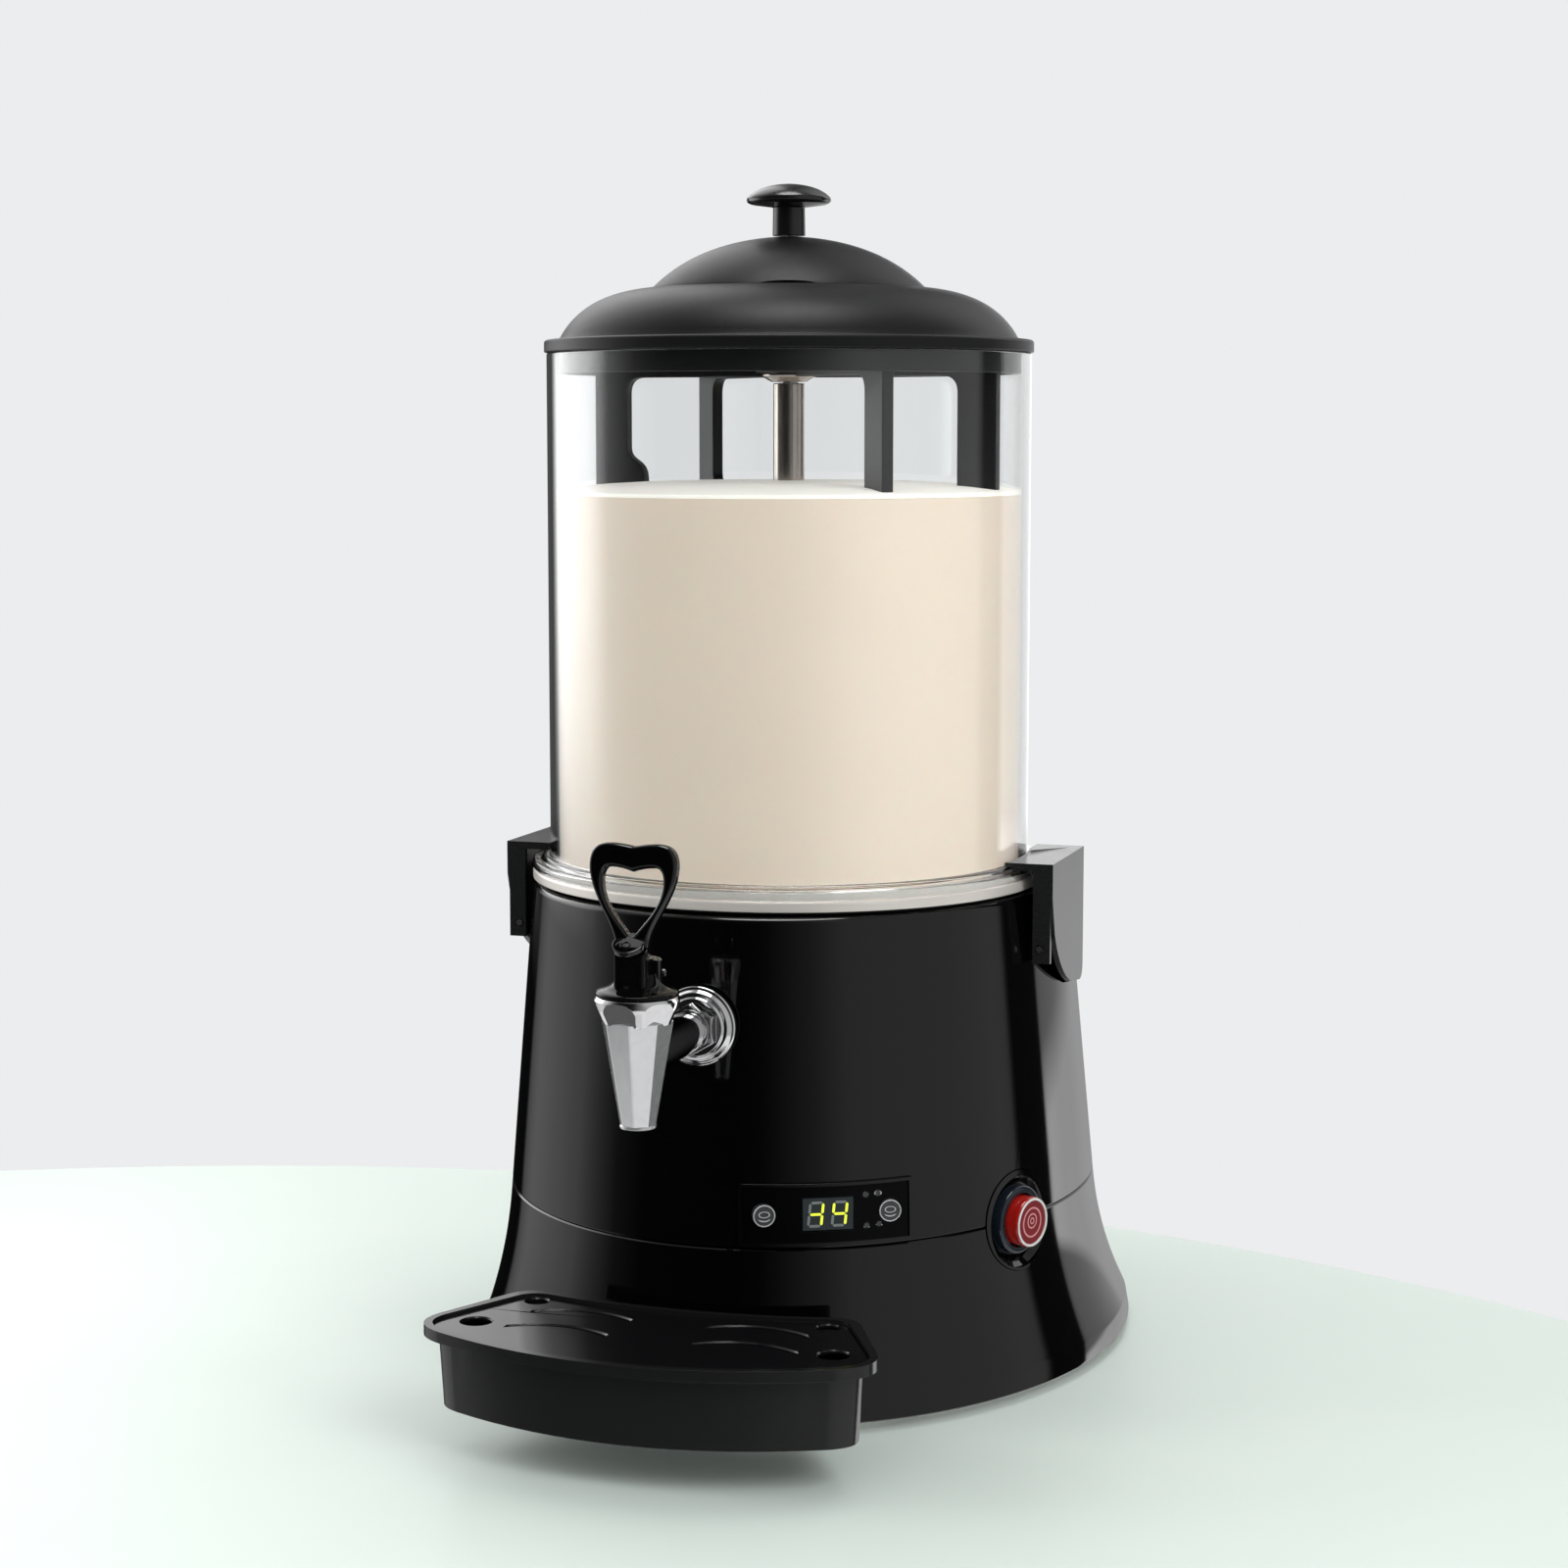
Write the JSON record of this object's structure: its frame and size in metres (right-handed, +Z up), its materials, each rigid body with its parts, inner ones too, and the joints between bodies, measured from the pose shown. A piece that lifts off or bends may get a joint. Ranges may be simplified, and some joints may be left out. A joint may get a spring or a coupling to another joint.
{
  "type": "hot drink dispenser",
  "caption": "Countertop hot drink dispenser: clear tank on a heated base, turning stirrer, domed lid with knob, lever tap, side latches, control panel and pull-out drip tray.",
  "frame": {"origin": "on the table, under the middle of the machine's footprint", "axes": "+Z up, -Y the side with the tap and drip tray, +X the side with the power switch"},
  "size_m": [0.2804, 0.4164, 0.4962],
  "materials": {
    "gloss_black": "glossy black moulded plastic",
    "satin_black": "fine-textured black plastic",
    "clear_plastic": "clear moulded plastic",
    "black_rubber": "matt black rubber",
    "pale_silicone": "translucent pale silicone",
    "stainless_steel": "brushed stainless steel",
    "chrome_tap": "polished chrome plating",
    "plated_steel": "zinc-plated steel",
    "cast_housing": "die-cast, dull",
    "red_button": "glossy red plastic with white markings",
    "smoked_window": "smoked clear window",
    "grey_key": "silver-grey key cap",
    "pale_lens": "milky light guide",
    "green_board": "green circuit board"
  },
  "bodies": {
    "machine": {"upper_casing": "gloss_black", "lower_casing": "gloss_black", "panel_bezel": "gloss_black", "switch_bezel": "gloss_black", "tap_bonnet": "gloss_black", "switch_cup": "satin_black", "switch_body": "satin_black", "mains_inlet": "satin_black", "overheat_cutout": "satin_black", "tank": "clear_plastic", "rubber_foot_1": "black_rubber", "rubber_foot_2": "black_rubber", "rubber_foot_3": "black_rubber", "rubber_foot_4": "black_rubber", "bath_gasket": "black_rubber", "outlet_washer": "black_rubber", "tank_seal": "pale_silicone", "bath_pan": "stainless_steel", "product_bowl": "stainless_steel", "centre_tube": "stainless_steel", "pan_nut": "stainless_steel", "heating_element": "stainless_steel", "water_probe": "stainless_steel", "outlet_pipe": "stainless_steel", "lever_pin": "stainless_steel", "bonnet_pin": "stainless_steel", "latch_pin_right": "stainless_steel", "latch_pin_left": "stainless_steel", "tap_body": "chrome_tap", "tap_rosette": "chrome_tap", "tap_nut": "chrome_tap", "bottom_plate": "plated_steel", "motor_bracket": "plated_steel", "gear_motor": "plated_steel", "motor_screw_1": "plated_steel", "motor_screw_2": "plated_steel", "bottom_screw_1": "plated_steel", "bottom_screw_2": "plated_steel", "bottom_screw_3": "plated_steel", "bottom_screw_4": "plated_steel", "gearbox": "cast_housing", "display_window": "smoked_window", "lamp_guide": "pale_lens", "control_board": "green_board"},
    "lid": {"lid": "satin_black", "lid_knob": "gloss_black", "knob_screw": "plated_steel"},
    "stirrer": {"stirrer": "satin_black", "stirrer_bush": "stainless_steel", "drive_shaft": "stainless_steel"},
    "latch_right": {"latch_right": "satin_black"},
    "latch_left": {"latch_left": "satin_black"},
    "lever": {"tap_lever": "gloss_black"},
    "valve": {"valve_stem": "pale_silicone"},
    "key_left": {"key_left": "grey_key"},
    "key_right": {"key_right": "grey_key"},
    "power_button": {"power_button": "red_button"},
    "drip_tray": {"drip_tray": "gloss_black"},
    "drip_plate": {"drip_plate": "gloss_black"}
  },
  "joints": [
    {"name": "lid_lift", "type": "slide", "parent": "machine", "child": "lid", "axis": [0, 0, 1], "range_m": [0, 0.07]},
    {"name": "stirrer_spin", "type": "hinge", "parent": "machine", "child": "stirrer", "pos_m": [0, 0.0073, 0.304], "axis": [0, 0, 1], "continuous": true},
    {"name": "latch_right_swing", "type": "hinge", "parent": "machine", "child": "latch_right", "pos_m": [0.1156, 0.0073, 0.181], "axis": [0, 1, 0], "range_deg": [0, 20]},
    {"name": "latch_left_swing", "type": "hinge", "parent": "machine", "child": "latch_left", "pos_m": [-0.1156, 0.0073, 0.181], "axis": [0, -1, 0], "range_deg": [0, 20]},
    {"name": "tap_lever_pull", "type": "hinge", "parent": "machine", "child": "lever", "pos_m": [0, -0.1857, 0.2003], "axis": [1, 0, 0], "range_deg": [0, 45], "stiffness_Nm_per_rad": 0.3, "springref_deg": -8.59},
    {"name": "valve_lift", "type": "slide", "parent": "machine", "child": "valve", "axis": [0, 0, 1], "range_m": [0, 0.0051]},
    {"name": "key_left_press", "type": "slide", "parent": "machine", "child": "key_left", "axis": [-0.463, 0.8864, 0], "range_m": [0, 0.0008], "stiffness_N_per_m": 800, "springref_m": -0.0005},
    {"name": "key_right_press", "type": "slide", "parent": "machine", "child": "key_right", "axis": [-0.463, 0.8864, 0], "range_m": [0, 0.0008], "stiffness_N_per_m": 800, "springref_m": -0.0005},
    {"name": "power_press", "type": "slide", "parent": "machine", "child": "power_button", "axis": [-0.9202, 0.3914, 0], "range_m": [0, 0.002], "stiffness_N_per_m": 1000, "springref_m": -0.0008},
    {"name": "tray_slide", "type": "slide", "parent": "machine", "child": "drip_tray", "axis": [0, -1, 0], "range_m": [0, 0.1]},
    {"name": "plate_lift", "type": "slide", "parent": "drip_tray", "child": "drip_plate", "axis": [0, 0, 1], "range_m": [0, 0.05]}
  ],
  "couplings": [
    {"joint": "valve_lift", "follows": "tap_lever_pull", "m_per_rad": 0.0064}
  ]
}
